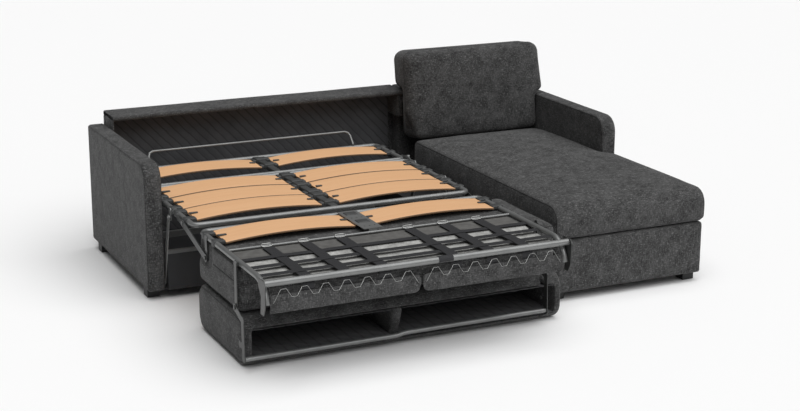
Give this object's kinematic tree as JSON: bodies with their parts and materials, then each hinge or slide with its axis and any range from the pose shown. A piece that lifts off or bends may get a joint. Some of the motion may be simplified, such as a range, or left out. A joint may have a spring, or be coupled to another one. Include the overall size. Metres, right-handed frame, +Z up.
{
  "type": "corner_sofa_bed",
  "caption": "Corner sofa bed with a chaise, opened out as a slatted bed on a folding steel frame",
  "frame": {"origin": "middle of the footprint of the open bed and sofa, on the floor", "axes": "+X to the right of a person facing the sofa, toward the chaise; +Y toward the sofa's back; +Z up"},
  "size_m": [2.5, 2.215, 0.9258],
  "materials": {
    "upholstery_cloth": "dark charcoal chenille with light flecks, matt",
    "black_lining": "thin black quilted lining",
    "webbing": "woven black elastic webbing",
    "black_rubber": "matt moulded rubber",
    "black_plastic": "matt moulded",
    "black_board": "board covered in black sheet",
    "beech_ply": "clear lacquered bent beech plywood",
    "grey_steel": "grey powder coat, satin",
    "bright_wire": "zinc plated wire"
  },
  "bodies": {
    "sofa": {"left_arm": "upholstery_cloth", "right_arm": "upholstery_cloth", "bed_back_shell": "upholstery_cloth", "bed_back_lining": "black_lining", "bed_floor_board": "black_board", "chaise_back_shell": "upholstery_cloth", "chaise_base": "upholstery_cloth", "chaise_seat_cushion": "upholstery_cloth", "chaise_back_cushion": "upholstery_cloth", "feet": "black_plastic", "front_panel": "black_board", "inner_side_box": "black_board", "front_cross_rail": "grey_steel", "rear_cross_rail": "grey_steel", "mechanism_side_plates": "grey_steel"},
    "front_arms": {"front_swing_arms": "grey_steel"},
    "rear_arms": {"rear_swing_arms": "grey_steel"},
    "middle_section": {"mid_side_rails": "grey_steel", "mid_cross_tubes": "grey_steel", "mid_slats": "beech_ply", "mid_centre_bar": "black_rubber", "mid_slat_holders": "black_rubber"},
    "head_section": {"head_side_rails": "grey_steel", "head_cross_tubes": "grey_steel", "head_slats": "beech_ply", "head_centre_bar": "black_rubber", "head_slat_holders": "black_rubber", "mattress_stop_bar": "grey_steel"},
    "knee": {"knee_plates": "grey_steel"},
    "foot_section": {"foot_side_rails": "grey_steel", "heel_lugs": "grey_steel", "foot_corner_bends": "grey_steel", "foot_rear_tube": "grey_steel", "foot_front_tube": "grey_steel", "foot_slats": "beech_ply", "foot_centre_plate": "grey_steel", "foot_slat_holders": "black_rubber", "webbing_rod": "grey_steel", "webbing_straps": "webbing", "cross_straps": "webbing", "webbing_clips": "bright_wire", "corner_plates": "grey_steel", "lacing_wires": "grey_steel", "front_valance": "upholstery_cloth", "rest_pivot_lugs": "grey_steel", "seat_cushion": "upholstery_cloth"},
    "backrest": {"backrest_shell": "upholstery_cloth", "backrest_lining": "black_lining", "backrest_rib": "black_lining", "backrest_tube": "grey_steel", "backrest_arm_plates": "grey_steel"}
  },
  "joints": [
    {"name": "bed_fold", "type": "hinge", "parent": "sofa", "child": "front_arms", "pos_m": [-0.453, 0.18722, 0.07461], "axis": [-1, 0, 0], "range_deg": [0, 28]},
    {"name": "middle_level", "type": "hinge", "parent": "front_arms", "child": "middle_section", "pos_m": [-0.453, 0.0955, 0.402], "axis": [-1, 0, 0], "range_deg": [-28, 0]},
    {"name": "rear_arm_swing", "type": "hinge", "parent": "sofa", "child": "rear_arms", "pos_m": [-0.453, 0.52422, 0.07461], "axis": [-1, 0, 0], "range_deg": [0, 28]},
    {"name": "head_raise", "type": "hinge", "parent": "middle_section", "child": "head_section", "pos_m": [-0.453, 0.5125, 0.451], "axis": [-1, 0, 0], "range_deg": [-90, 0]},
    {"name": "knee_turn", "type": "hinge", "parent": "middle_section", "child": "knee", "pos_m": [-0.453, -0.0895, 0.425], "axis": [-1, 0, 0], "range_deg": [0, 73]},
    {"name": "foot_turn", "type": "hinge", "parent": "knee", "child": "foot_section", "pos_m": [-0.453, -0.3975, 0.35], "axis": [-1, 0, 0], "range_deg": [0, 107]},
    {"name": "backrest_turn", "type": "hinge", "parent": "foot_section", "child": "backrest", "pos_m": [-0.453, -0.7885, 0.25], "axis": [-1, 0, 0], "range_deg": [0, 100]}
  ],
  "couplings": [
    {"joint": "middle_level", "follows": "bed_fold", "ratio": -1},
    {"joint": "rear_arm_swing", "follows": "bed_fold", "ratio": 1},
    {"joint": "head_raise", "follows": "bed_fold", "ratio": -3.2143},
    {"joint": "knee_turn", "follows": "bed_fold", "ratio": 2.6071},
    {"joint": "foot_turn", "follows": "bed_fold", "ratio": 3.8214},
    {"joint": "backrest_turn", "follows": "bed_fold", "ratio": 3.5714}
  ]
}
